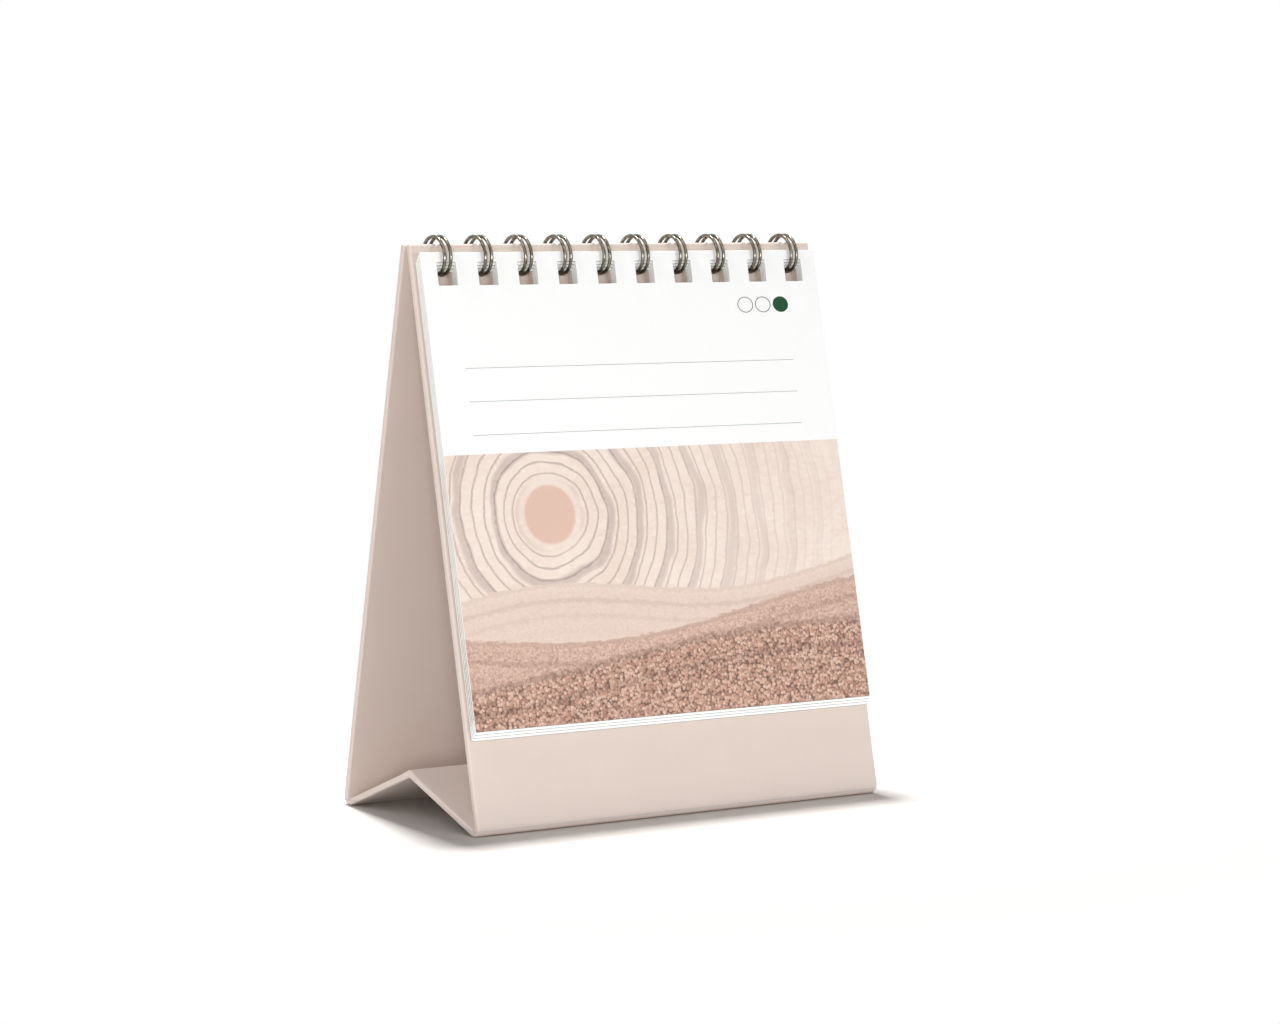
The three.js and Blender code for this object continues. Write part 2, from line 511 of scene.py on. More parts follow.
@dataclass(frozen=True)
class Card:
    """Smooth card: white on the leaves' backs and cut edges, and dark as the painted shade on
    their lower bevels.

    Attributes:
        name: The material's name.
        colour: The card's colour.
        grain_cells: The grain's cells to the metre.
        layer_cells: The layers' cells to the metre, along each axis.
        depth: How deep the grain is.
    """

    name: str
    colour: Colour
    grain_cells: float = 2200.0
    layer_cells: Point3 = (200.0, 6000.0, 900.0)
    depth: float = 0.012 * MM

    def build(self) -> bpy.types.Material:
        """Makes the material.

        Returns:
            The material.
        """
        finish = Finish(self.name)
        graph = finish.graph
        grain = graph.noise(finish.place, self.grain_cells, 3.0)
        layers = graph.noise(finish.stretched(self.layer_cells), 1.0, 1.0)
        tone = graph.mix(grain.smooth(0.35, 0.65), scaled(self.colour, 0.965), self.colour)
        tone = graph.mix(layers.smooth(0.5, 0.7) * 0.3, tone, scaled(self.colour, 0.93))
        return finish.close(
            {
                "Base Color": tone,
                "Roughness": 0.6 + grain * 0.15,
                "Normal": graph.bump(grain, self.depth, 0.3),
                "Specular IOR Level": 0.35,
            }
        )


@dataclass(frozen=True)
class WireMetal:
    """Dark coated steel wire, bright where its coat is drawn thin.

    Attributes:
        colour: The coat's colour.
        worn: The colour where the coat is thin.
        drawn_cells: The drawing marks' cells to the metre, along each axis.
        spot_cells: The fine spots' cells to the metre.
        depth: How deep the spots are.
    """

    colour: Colour = srgb(98, 90, 77)
    worn: Colour = srgb(178, 172, 160)
    drawn_cells: Point3 = (3200.0, 900.0, 900.0)
    spot_cells: float = 5200.0
    depth: float = 0.002 * MM

    def build(self) -> bpy.types.Material:
        """Makes the material.

        Returns:
            The material.
        """
        finish = Finish("wire_metal")
        graph = finish.graph
        drawn = graph.noise(finish.stretched(self.drawn_cells), 1.0, 2.0)
        spots = graph.noise(finish.place, self.spot_cells, 2.0)
        tone = graph.mix(drawn.smooth(0.35, 0.75) * 0.6, self.colour, self.worn)
        return finish.close(
            {
                "Base Color": tone,
                "Metallic": 1.0,
                "Roughness": 0.15 + spots * 0.12,
                "Normal": graph.bump(spots, self.depth, 0.15),
            }
        )


@dataclass(frozen=True)
class Motif:
    """How one leaf's picture is laid out.

    Attributes:
        disc: The centre of the disc, in millimetres across and below the picture's top.
        radius: The disc's radius in millimetres.
        phase: A shift of the dunes' waves.
        slope: How the dunes fall towards the right, in millimetres to the millimetre.
        margin: The bare strip under the picture, in millimetres.
    """

    disc: Point2
    radius: float
    phase: float
    slope: float
    margin: float


@dataclass(frozen=True)
class Dune:
    """One dune of the picture, with its lengths in millimetres.

    Attributes:
        height: How far its crest lies below the picture's top.
        swing: How far the crest waves up and down.
        length: How long its waves are, to the radian.
        phase: How far its waves are shifted.
        body: Its main colour.
        dark: The colour between its grains.
        light: The colour of its bright grains.
        grain: How strongly the grains show.
        cells: The grains to the metre.
        ripple: How close its ripples are, in radians to the millimetre.
    """

    height: float
    swing: float
    length: float
    phase: float
    body: Colour
    dark: Colour
    light: Colour
    grain: float
    cells: float
    ripple: float


FAR_DUNE = Dune(
    36.0, 3.5, 21.0, 0.0,
    srgb(228, 205, 192), srgb(198, 172, 160), srgb(246, 229, 218), 0.15, 1900.0, 1.5,
)
MIDDLE_DUNE = Dune(
    45.0, 4.5, 29.0, 1.7,
    srgb(208, 173, 156), srgb(150, 116, 104), srgb(236, 208, 194), 0.45, 1550.0, 1.2,
)
NEAR_DUNE = Dune(
    54.5, 3.5, 36.0, 3.4,
    srgb(190, 146, 126), srgb(86, 60, 52), srgb(231, 199, 181), 0.8, 1200.0, 0.9,
)


@dataclass(frozen=True)
class PrintedCard:
    """The printed face of a leaf: three ruled lines, three marks and a picture of dunes.

    All lengths but the grain's depth are in millimetres.

    Attributes:
        name: The material's name.
        motif: The picture's layout.
        lean: How far the leaf leans from the vertical.
        top: The height of the leaf's top edge along its own plane.
        length: The leaf's length.
        white: The bare card's colour.
        rule: The ruled lines' colour.
        green: The marks' colour.
        rule_places: How far the ruled lines lie below the leaf's top edge.
        rule_span: Where the lines start and end across the leaf.
        rule_width: How wide a line is.
        mark_places: Where the marks lie across the leaf.
        mark_depth: How far they lie below the leaf's top edge.
        mark_radius: Their half width.
        mark_flatness: How many times their height goes into their width.
        mark_line: How wide the rings' line is.
        mark_blur: How far a mark's edge fades to each side.
        picture_top: How far the picture's top lies below the leaf's top edge.
        blur: How far the edges of the lines and the picture fade to each side.
        sand: The dark and the light tone of the picture's ground.
        streaks: The colours of the ground's dark and light streaks.
        broad_line: The broad rings' colour.
        thin_line: The thin rings' colour.
        disc_colour: The disc's colour.
        disc_blur: How far the disc's edge fades to each side.
        ring_start: From the disc's edge to where the rings begin and to where they are full.
        ring_reach: How far from the disc's centre the last ring shows.
        broad_turn: How close the broad rings are, in radians to the millimetre.
        thin_turn: How close the thin rings are, in radians to the millimetre.
        wobble: How far the streaks push a dune's crest.
        crest_fade: From below the crest to above it, over which a dune's edge fades.
        crest_light: How far down from its crest a dune is lighter.
        ripple_reach: How far down from its crest a dune has ripples.
        blot_cells: The ground's blots to the metre.
        streak_cells: The streaks' cells to the metre, along each axis.
        fine_cells: The dunes' fine cells to the metre.
        grain_cells: The card grain's cells to the metre.
        grain_tone: How light the grain is against the bare card.
        depth: How deep that grain is, in metres.
        dunes: The picture's dunes, from the farthest to the nearest.
    """

    name: str
    motif: Motif
    lean: float
    top: float
    length: float
    white: Colour = srgb(255, 255, 255)
    rule: Colour = srgb(166, 176, 164)
    green: Colour = srgb(2, 68, 37)
    rule_places: tuple[float, ...] = (31.4, 40.4, 49.4)
    rule_span: Point2 = (-54.9, 53.2)
    rule_width: float = 0.17
    mark_places: tuple[float, ...] = (38.95, 45.0, 51.15)
    mark_depth: float = 15.53
    mark_radius: float = 2.66
    mark_flatness: float = 1.19
    mark_line: float = 0.25
    mark_blur: float = 0.05
    picture_top: float = 54.5
    blur: float = 0.04
    sand: tuple[Colour, Colour] = (srgb(238, 220, 208), srgb(244, 228, 217))
    streaks: tuple[Colour, Colour] = (srgb(229, 208, 194), srgb(249, 237, 227))
    broad_line: Colour = srgb(158, 138, 133)
    thin_line: Colour = srgb(146, 124, 118)
    disc_colour: Colour = srgb(224, 186, 169)
    disc_blur: float = 0.5
    ring_start: Point2 = (1.0, 4.0)
    ring_reach: float = 118.0
    broad_turn: float = 0.62
    thin_turn: float = 1.9
    wobble: float = 2.2
    crest_fade: Point2 = (-0.25, 0.35)
    crest_light: float = 3.2
    ripple_reach: float = 18.0
    blot_cells: float = 55.0
    streak_cells: Point3 = (420.0, 900.0, 900.0)
    fine_cells: float = 1500.0
    grain_cells: float = 2400.0
    grain_tone: float = 0.985
    depth: float = 0.012 * MM
    dunes: tuple[Dune, ...] = (FAR_DUNE, MIDDLE_DUNE, NEAR_DUNE)

    def build(self) -> bpy.types.Material:
        """Makes the material.

        Returns:
            The material.
        """
        finish = Finish(self.name)
        graph = finish.graph
        x, y, z = finish.axes()
        down = self.top - (y * math.sin(self.lean) + z * math.cos(self.lean))
        grain = graph.noise(finish.place, self.grain_cells, 3.0)
        grey = scaled(self.white, self.grain_tone)
        tone = graph.mix(grain.smooth(0.3, 0.7), grey, self.white)
        tone = graph.mix(self.rules(x, down), tone, self.rule)
        tone = graph.mix(self.marks(graph, x, down), tone, self.green)
        picture = self.picture(finish, x, down - self.picture_top)
        inside = down.smooth(self.picture_top - self.blur, self.picture_top + self.blur)
        if self.motif.margin > 0:
            inside = inside * (down < self.length - self.motif.margin)
        tone = graph.mix(inside, tone, picture)
        return finish.close(
            {
                "Base Color": tone,
                "Roughness": 0.56 + grain * 0.16,
                "Normal": graph.bump(grain, self.depth, 0.3),
                "Specular IOR Level": 0.35,
            }
        )

    def rules(self, x: Socket, down: Socket) -> Socket:
        """Masks the ruled lines.

        Args:
            x: The place across the leaf.
            down: The place below its top edge.

        Returns:
            1 on a line.
        """
        half = self.rule_width / 2
        within = (x > self.rule_span[0]) * (x < self.rule_span[1])
        mask: Value = 0.0
        for place in self.rule_places:
            mask = abs(down - place).smooth(half + self.blur, half - self.blur) + mask
        return mask * within

    def marks(self, graph: Graph, x: Socket, down: Socket) -> Socket:
        """Masks the three round marks, of which the last is filled.

        Args:
            graph: The material's graph.
            x: The place across the leaf.
            down: The place below its top edge.

        Returns:
            1 on a mark's print.
        """
        total: Value = 0.0
        for index, centre in enumerate(self.mark_places):
            away = distance(graph, x - centre, (down - self.mark_depth) * self.mark_flatness)
            blur = self.mark_blur
            disc = away.smooth(self.mark_radius + blur, self.mark_radius - blur)
            if index < len(self.mark_places) - 1:
                inner = self.mark_radius - self.mark_line
                disc = disc * away.smooth(inner - blur, inner + blur)
            total = disc + total
        return total

    def picture(self, finish: Finish, x: Socket, depth: Socket) -> Socket:
        """Paints the dunes: pale ground, a disc, soft ripples and a grainy front.

        Args:
            finish: The material.
            x: The place across the leaf.
            depth: The place below the picture's top.

        Returns:
            The picture's colour.
        """
        graph, motif = finish.graph, self.motif
        blot = graph.noise(finish.place, self.blot_cells, 2.0)
        streak = graph.noise(finish.stretched(self.streak_cells), 1.0, 5.0)
        fine = graph.noise(finish.place, self.fine_cells, 4.0)
        ground = graph.mix(blot.smooth(0.3, 0.7), *self.sand)
        ground = graph.mix(streak.smooth(0.5, 0.72) * 0.45, ground, self.streaks[0])
        ground = graph.mix(streak.smooth(0.46, 0.3) * 0.5, ground, self.streaks[1])
        away = distance(graph, x - motif.disc[0], depth - motif.disc[1])
        broad = graph.math("SINE", away * self.broad_turn + blot * 5.0).smooth(0.55, 1.0)
        thin = graph.math("SINE", away * self.thin_turn + blot * 9.0 + streak * 1.2)
        start, full = self.ring_start
        outside = away.smooth(motif.radius + start, motif.radius + full)
        reach = away.smooth(self.ring_reach, motif.radius)
        shade = streak.smooth(0.75, 0.35) * 0.35 + 0.65
        rings = outside * reach * shade
        ground = graph.mix(broad * rings * 0.5, ground, self.broad_line)
        ground = graph.mix(thin.smooth(0.72, 1.0) * rings * 0.55, ground, self.thin_line)
        disc = away.smooth(motif.radius + self.disc_blur, motif.radius - self.disc_blur)
        ground = graph.mix(disc * 0.85, ground, self.disc_colour)
        shift = x * motif.slope + streak * self.wobble
        for dune in self.dunes:
            wave = graph.math("SINE", x / dune.length + (motif.phase + dune.phase))
            under = depth - (dune.height + wave * dune.swing + shift)
            ground = self.lay(finish, ground, under, dune, fine)
        return ground

    def lay(
        self, finish: Finish, ground: Socket, under: Socket, dune: Dune, fine: Socket
    ) -> Socket:
        """Lays one dune over the picture.

        Args:
            finish: The material.
            ground: The colour so far.
            under: How far a place is below the dune's crest.
            dune: The dune.
            fine: The fine grain.

        Returns:
            The colour with the dune.
        """
        graph = finish.graph
        pebbles = graph.node(
            "ShaderNodeTexVoronoi",
            {"feature": "F1"},
            {"Vector": finish.place, "Scale": dune.cells, "Randomness": 1.0},
        )
        pebble = graph.out(pebbles, "Distance") + (fine - 0.5) * 0.5
        tint = graph.out(
            graph.node("ShaderNodeSeparateColor", None, {0: graph.out(pebbles, "Color")})
        )
        colour = graph.mix(fine.smooth(0.3, 0.7) * 0.3, dune.body, dune.light)
        colour = graph.mix(tint.smooth(0.35, 1.0) * dune.grain, colour, dune.light)
        colour = graph.mix(tint.smooth(0.3, 0.0) * dune.grain * 0.5, colour, dune.dark)
        colour = graph.mix(pebble.smooth(0.46, 0.86) * dune.grain, colour, dune.dark)
        ripple = graph.math("SINE", under * dune.ripple + fine * 1.6)
        fade = under.smooth(self.ripple_reach, 1.0)
        colour = graph.mix(ripple.smooth(0.25, 1.0) * fade * 0.4, colour, dune.dark)
        crest = under.smooth(self.crest_light, 0.0)
        colour = graph.mix(crest * 0.3, colour, dune.light)
        return graph.mix(under.smooth(*self.crest_fade), ground, colour)


def distance(graph: Graph, across: Socket, along: Socket) -> Socket:
    """Returns the length of a step across and along."""
    return graph.math("SQRT", across * across + along * along)


def new_object(name: str, mesh: bpy.types.Mesh) -> bpy.types.Object:
    """Puts a mesh into the scene.

    Args:
        name: The object's name.
        mesh: Its mesh.

    Returns:
        The object.
    """
    made = bpy.data.objects.new(name, mesh)
    bpy.context.scene.collection.objects.link(made)
    return made


def settle(piece: bpy.types.Object) -> None:
    """Turns what a piece's modifiers make of it into its plain mesh.

    Args:
        piece: The piece.
    """
    depsgraph = bpy.context.evaluated_depsgraph_get()
    mesh = bpy.data.meshes.new_from_object(piece.evaluated_get(depsgraph))
    piece.modifiers.clear()
    piece.data = mesh


def even_shading(piece: bpy.types.Object) -> None:
    """Shades a piece smooth, with its flat faces kept flat and its sharp edges sharp.

    Args:
        piece: The piece.
    """
    piece.data.shade_smooth()
    piece.data.set_sharp_from_angle(angle=SHARP_ANGLE)
    even = piece.modifiers.new("even", "WEIGHTED_NORMAL")
    even.keep_sharp = True
    settle(piece)


def mesh_from(name: str, build: Callable[[bmesh.types.BMesh], None]) -> bpy.types.Mesh:
    """Makes a closed mesh whose faces point outwards.

    Args:
        name: The mesh's name.
        build: Fills an empty bmesh.

    Returns:
        The mesh.
    """
    shape = bmesh.new()
    build(shape)
    bmesh.ops.remove_doubles(shape, verts=shape.verts, dist=WELD)
    bmesh.ops.recalc_face_normals(shape, faces=shape.faces)
    mesh = bpy.data.meshes.new(name)
    shape.to_mesh(mesh)
    shape.free()
    return mesh


def bands(shape: bmesh.types.BMesh, rings: Sequence[Sequence[bmesh.types.BMVert]]) -> None:
    """Joins each ring of vertices to the next by a band of faces.

    Args:
        shape: Takes the faces.
        rings: Rings with the same number of vertices, from one end to the other.
    """
    count = len(rings[0])
    for here, after in zip(rings, rings[1:]):
        for k in range(count):
            following = (k + 1) % count
            shape.faces.new((here[k], here[following], after[following], after[k]))


def loft(shape: bmesh.types.BMesh, rings: Sequence[Sequence[Vector]]) -> None:
    """Joins rings of points into a closed skin.

    Args:
        shape: Takes the faces.
        rings: Rings with the same number of points, from one end to the other.
    """
    made = [[shape.verts.new(point) for point in ring] for ring in rings]
    bands(shape, made)
    shape.faces.new(made[0])
    shape.faces.new(made[-1])


def rounded(x0: float, x1: float, y0: float, y1: float, radius: float, steps: int) -> list[Point2]:
    """Outlines a rectangle with rounded corners.

    Args:
        x0: Its left side.
        x1: Its right side.
        y0: Its lower side.
        y1: Its upper side.
        radius: The corners' radius.
        steps: Facets in each corner.

    Returns:
        The outline's points.
    """
    corners = (
        (x1 - radius, y0 + radius, -90),
        (x1 - radius, y1 - radius, 0),
        (x0 + radius, y1 - radius, 90),
        (x0 + radius, y0 + radius, 180),
    )
    points: list[Point2] = []
    for x, y, start in corners:
        for k in range(steps + 1):
            angle = math.radians(start + 90 * k / steps)
            points.append((x + radius * math.cos(angle), y + radius * math.sin(angle)))
    return points


@dataclass(frozen=True)
class Punching:
    """The row of holes that the wire runs through.

    Attributes:
        count: How many loops the wire has.
        pitch: From one loop to the next.
    """

    count: int = 10
    pitch: float = 12.7 * MM

    def centres(self) -> list[float]:
        """Returns the loops' places along X."""
        return [(i - (self.count - 1) / 2) * self.pitch for i in range(self.count)]


@dataclass(frozen=True)
class Station:
    """A place along the easel's wrap.

    Attributes:
        inner: The point on the inner face.
        out: The direction through the board, from its inner face outwards.
        low: Where the paper starts along that direction.
        high: Where it ends.
    """

    inner: Vector
    out: Vector
    low: float
    high: float


@dataclass
class Easel:
    """The folding stand of wrapped board: two uprights and a base folded up to a ridge.

    Places on a panel are given as x across it, s along it from the foot's fold, and t through it
    from its inner face.

    Attributes:
        punching: The row of holes.
        width: The boards' width.
        length: From the fold at a foot to the top edge.
        lean: How far a board leans from the vertical.
        top_gap: Between the two boards' inner top edges.
        ridge_height: The top of the fold in the middle of the base.
        thickness: Of a wrapped board.
        slack: From a fold's axis to the faces that close on it.
        foot_flat: How deep the table flattens a foot.
        ridge_setback: The end of each base panel that is crushed into the ridge.
        paper: The wrap paper's thickness.
        glue: The gap between the wrap and a liner.
        liner: A liner's thickness.
        turn_in: How wide the wrap is folded onto the inner face.
        liner_border: The bare border round a liner.
        liner_slope: How far in from its edge a liner is pressed down.
        feather: The thickness that is left at a liner's edge.
        edge_radius: The rounding of the wrapped edges.
        least_flat: What a rounding leaves of half a thin edge.
        edge_rows: Facets of that rounding at the top edge.
        edge_facets: Facets of that rounding in each corner of the section.
        hole_width: The punched holes' width.
        hole_height: Their height.
        hole_margin: From the top edge to the holes.
        hole_corner: The rounding of their corners.
        hole_facets: Facets of that rounding.
        fold_steps: Facets of a fold.
        board_rows: Rows of points up the board beside the fold, in millimetres.
        base_rows: Rows of points along the base panel beside the fold, in millimetres.
        overcut: How far a cutter reaches past what it cuts.
        window_depth: How far the window in the turn-in reaches into the pocket for the core.
        bend_reach: How far to each side of a foot's fold the wrap would bend. It is not used.
        cover_paper: The wrap's finish.
        liner_paper: The liners' finish.
        board: The cores' finish.
        radius: Of a fold's outer face.
        foot_height: How high a foot's axis is.
        foot_y: How far it is from the middle.
        ridge_axis: How high the ridge's axis is.
        base_angle: How far a base panel rises from the level.
        base_length: From a foot's fold to the ridge's.
        foot: The front foot's axis.
        up: The way up the front board.
        out: The way out through the front board.
        along: The way along the front base panel, towards the ridge.
        down: The way down through the front base panel.
    """

    punching: Punching
    width: float = 132 * MM
    length: float = 154.8 * MM
    lean: float = math.radians(12.18)
    top_gap: float = 0.3 * MM
    ridge_height: float = 13.7 * MM
    thickness: float = 2.15 * MM
    slack: float = 0.4 * MM
    foot_flat: float = 0.05 * MM
    ridge_setback: float = 4 * MM
    paper: float = 0.25 * MM
    glue: float = 0.05 * MM
    liner: float = 0.2 * MM
    turn_in: float = 12.4 * MM
    liner_border: float = 0.9 * MM
    liner_slope: float = 3 * MM
    feather: float = 0.005 * MM
    edge_radius: float = 0.6 * MM
    least_flat: float = 0.001 * MM
    edge_rows: int = 5
    edge_facets: int = 4
    hole_width: float = 6 * MM
    hole_height: float = 7 * MM
    hole_margin: float = 5 * MM
    hole_corner: float = 0.6 * MM
    hole_facets: int = 5
    fold_steps: int = 14
    board_rows: tuple[float, ...] = (12, 3, 2, 1, 0.4, 0)
    base_rows: tuple[float, ...] = (0, 0.4, 1, 2, 3)
    overcut: float = 1 * MM
    window_depth: float = 0.02 * MM
    bend_reach: float = 0.6 * MM
    cover_paper: WrapPaper = WrapPaper("cover_paper", srgb(226, 211, 202))
    liner_paper: WrapPaper = WrapPaper("liner_paper", srgb(225, 210, 201))
    board: Greyboard = Greyboard()
    radius: float = field(init=False)
    foot_height: float = field(init=False)
    foot_y: float = field(init=False)
    ridge_axis: float = field(init=False)
    base_angle: float = field(init=False)
    base_length: float = field(init=False)
    foot: Vector = field(init=False)
    up: Vector = field(init=False)
    out: Vector = field(init=False)
    along: Vector = field(init=False)
    down: Vector = field(init=False)

    def __post_init__(self) -> None:
        """Works out where the folds lie."""
        self.radius = self.thickness + self.slack
        self.foot_height = self.radius - self.foot_flat
        self.foot_y = (
            self.length * math.sin(self.lean) + self.top_gap / 2
            - self.slack * math.cos(self.lean)
        )
        self.ridge_axis = self.ridge_height - self.radius
        rise = self.ridge_axis - self.foot_height
        reach = math.hypot(self.foot_y, rise)
        spread = math.asin((2 * self.slack + self.thickness) / reach)
        self.base_angle = math.atan2(rise, self.foot_y) + spread
        self.base_length = reach * math.cos(spread)
        self.foot = Vector((0, -self.foot_y, self.foot_height))
        self.up = Vector((0, math.sin(self.lean), math.cos(self.lean)))
        self.out = Vector((0, -math.cos(self.lean), math.sin(self.lean)))
        self.along = Vector((0, math.cos(self.base_angle), math.sin(self.base_angle)))
        self.down = Vector((0, math.sin(self.base_angle), -math.cos(self.base_angle)))

    def on_board(self, x: float, s: float, t: float) -> Vector:
        """Returns the place at x, s up the front board and t out from its inner face."""
        return self.foot + self.up * s + self.out * (self.slack + t) + Vector((x, 0, 0))

    def on_base(self, x: float, s: float, t: float) -> Vector:
        """Returns the place at x, s along the front base panel and t down from its inner face."""
        return self.foot + self.along * s + self.down * (self.slack + t) + Vector((x, 0, 0))

    def stations(self) -> list[Station]:
        """Follows the wrap from the board's top edge down, round the foot and up to the ridge.

        Returns:
            Its stations, in that order.
        """
        low, high = self.liner + self.glue, self.thickness
        path: list[Station] = []
        for k in range(self.edge_rows + 1):
            angle = math.radians(90) * k / self.edge_rows
            inset = self.edge_radius * (1 - math.sin(angle))
            drop = self.edge_radius * (1 - math.cos(angle))
            place = self.on_board(0, self.length - drop, 0)
            path.append(Station(place, self.out, low + inset, high - inset))
        for s in self.board_rows:
            path.append(Station(self.on_board(0, s * MM, 0), self.out, low, high))
        start = math.atan2(self.out.z, self.out.y) % (2 * math.pi)
        end = math.atan2(self.down.z, self.down.y) % (2 * math.pi)
        for k in range(1, self.fold_steps):
            angle = start + (end - start) * k / self.fold_steps
            out = Vector((0, math.cos(angle), math.sin(angle)))
            most = high
            if out.z < 0:
                most = min(high, self.foot_height / -out.z - self.slack)
            path.append(Station(self.foot + out * self.slack, out, low, most))
        end_of_panel = self.base_length - self.ridge_setback
        for s in self.base_rows:
            path.append(Station(self.on_base(0, s * MM, 0), self.down, low, high))
        path.append(Station(self.on_base(0, end_of_panel, 0), self.down, low, high))
        path.append(Station(self.on_base(0, self.base_length, 0), self.down, 0.0, high))
        ridge = Vector((0, 0, self.ridge_axis))
        start = math.atan2(-self.down.z, -self.down.y)
        for k in range(1, self.fold_steps + 1):
            angle = start + (math.pi / 2 - start) * k / self.fold_steps
            out = Vector((0, math.cos(angle), math.sin(angle)))
            path.append(Station(ridge + out * self.radius, -out, 0.0, high))
        return path

    def sheet(self, shape: bmesh.types.BMesh) -> None:
        """Makes the wrap's outer form, still filled.

        Args:
            shape: Takes the form.
        """
        half = self.width / 2
        rings = []
        for station in self.stations():
            depth = station.high - station.low
            radius = min(self.edge_radius, depth / 2 - self.least_flat)
            outline = rounded(-half, half, station.low, station.high, radius, self.edge_facets)
            rings.append([station.inner + station.out * t + Vector((x, 0, 0)) for x, t in outline])
        loft(shape, rings)

    def block(
        self,
        place: Callable[[float, float, float], Vector],
        half: float,
        s: Point2,
        t: Point2,
    ) -> Callable[[bmesh.types.BMesh], None]:
        """Describes a box in a panel's own directions.

        Args:
            place: Where a point of the panel lies.
            half: Half the box's width.
            s: Its start and end along the panel.
            t: Its start and end through the panel.

        Returns:
            What builds it.
        """

        def build(shape: bmesh.types.BMesh) -> None:
            """Fills an empty bmesh with the box.

            Args:
                shape: Takes the box.
            """
            loft(shape, [
                [place(x, at, depth) for x, depth in
                 ((-half, t[0]), (half, t[0]), (half, t[1]), (-half, t[1]))]
                for at in s
            ])

        return build

    def holes(self, shape: bmesh.types.BMesh) -> None:
        """Makes the prisms that punch the board.

        Args:
            shape: Takes the prisms.
        """
        top = self.length - self.hole_margin
        for x in self.punching.centres():
            outline = rounded(
                x - self.hole_width / 2, x + self.hole_width / 2,
                top - self.hole_height, top, self.hole_corner, self.hole_facets,
            )
            loft(shape, [
                [self.on_board(a, b, depth) for a, b in outline]
                for depth in (-self.overcut, self.thickness + self.overcut)
            ])

    def wrap_mesh(self) -> bpy.types.Mesh:
        """Makes the front half's wrap: a thin sheet round the cores, solid at the folds.

        Returns:
            Its mesh.
        """
        piece = new_object("wrap_blank", mesh_from("wrap", self.sheet))
        half = self.width / 2 - self.paper
        core = self.liner + self.glue + self.paper
        pocket = (core, self.thickness - self.paper)
        opening = (-self.overcut, core + self.window_depth)
        window = self.width / 2 - self.turn_in
        lap = self.liner_slope / 2
        panel = self.base_length - self.ridge_setback
        cuts = (
            self.block(self.on_board, half, (0.0, self.length - self.paper), pocket),
            self.block(self.on_board, window, (lap, self.length - self.turn_in), opening),
            self.block(self.on_base, half, (0.0, panel), pocket),
            self.block(self.on_base, window, (lap, panel - self.liner_border - lap), opening),
            self.holes,
        )
        for cut in cuts:
            tool = new_object("cutter", mesh_from("cutter", cut))
            carve = piece.modifiers.new("carve", "BOOLEAN")
            carve.operation = "DIFFERENCE"
            carve.solver = "EXACT"
            carve.object = tool
            settle(piece)
            bpy.data.objects.remove(tool)
        even_shading(piece)
        mesh = piece.data
        bpy.data.objects.remove(piece)
        return mesh

    def facing(
        self, place: Callable[[float, float, float], Vector], length: float
    ) -> Callable[[bmesh.types.BMesh], None]:
        """Describes a panel's liner, whose edges are pressed down into the wrap.

        Args:
            place: Where a point of the panel lies.
            length: The panel's length.

        Returns:
            What builds it.
        """
        half = self.width / 2 - self.liner_border
        flat = half - self.liner_slope
        bottom = self.liner + self.glue - self.feather
        edge = bottom - self.feather
        end = length - self.liner_border
        stations = (
            (self.feather, edge), (self.liner_slope, 0.0),
            (end - self.liner_slope, 0.0), (end, edge),
        )

        def build(shape: bmesh.types.BMesh) -> None:
            """Fills an empty bmesh with the liner.

            Args:
                shape: Takes the liner.
            """
            loft(shape, [
                [place(x, s, t) for x, t in (
                    (-half, edge), (-flat, face), (flat, face),
                    (half, edge), (half, bottom), (-half, bottom),
                )]
                for s, face in stations
            ])

        return build

    def facing_meshes(self) -> dict[str, bpy.types.Mesh]:
        """Makes the liners of the front half's two panels.

        Returns:
            Their meshes, by the panel's name.
        """
        panel = self.base_length - self.ridge_setback
        made = {}
        for name, build in (
            ("board", self.facing(self.on_board, self.length)),
            ("base", self.facing(self.on_base, panel)),
        ):
            piece = new_object("facing_blank", mesh_from(f"{name}_facing", build))
            even_shading(piece)
            made[name] = piece.data
            bpy.data.objects.remove(piece)
        return made

    def build(self, frame: Mapping[str, Any]) -> None:
        """Makes and dresses both halves.

        Args:
            frame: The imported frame.
        """
        cover = self.cover_paper.build()
        liner = self.liner_paper.build()
        core = self.board.build()
        first = self.wrap_mesh()
        facings = self.facing_meshes()
        for side in Side:
            mesh = first.copy()
            mesh.transform(side.turn)
            mesh.materials.clear()
            mesh.materials.append(cover)
            name = side.value
            wrap = new_object(f"{name}_wrap", mesh)
            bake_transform(wrap)
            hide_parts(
                f"{name}_board_cover", f"{name}_foot_fold", f"{name}_base_cover",
                f"{name}_ridge_fold",
            )
            log.info("%s: %d faces", wrap.name, len(mesh.polygons))
            for panel, shape in facings.items():
                body = f"{name}_{panel}"
                lining = new_object(f"{body}_facing", shape.copy())
                lining.data.transform(side.turn)
                lining.data.materials.append(liner)
                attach(lining, body)
                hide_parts(f"{body}_liner")
                dress(frame, f"{body}_core", core)


def dress(frame: Mapping[str, Any], node: str, material: bpy.types.Material) -> None:
    """Gives a node of the frame its finish.

    Args:
        frame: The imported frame.
        node: The node's name.
        material: Its finish.
    """
    slots = frame["nodes"][node].material_slots
    if slots:
        for held in slots:
            held.material = material
    else:
        frame["nodes"][node].data.materials.append(material)
    log.info("%s: %s", node, material.name)


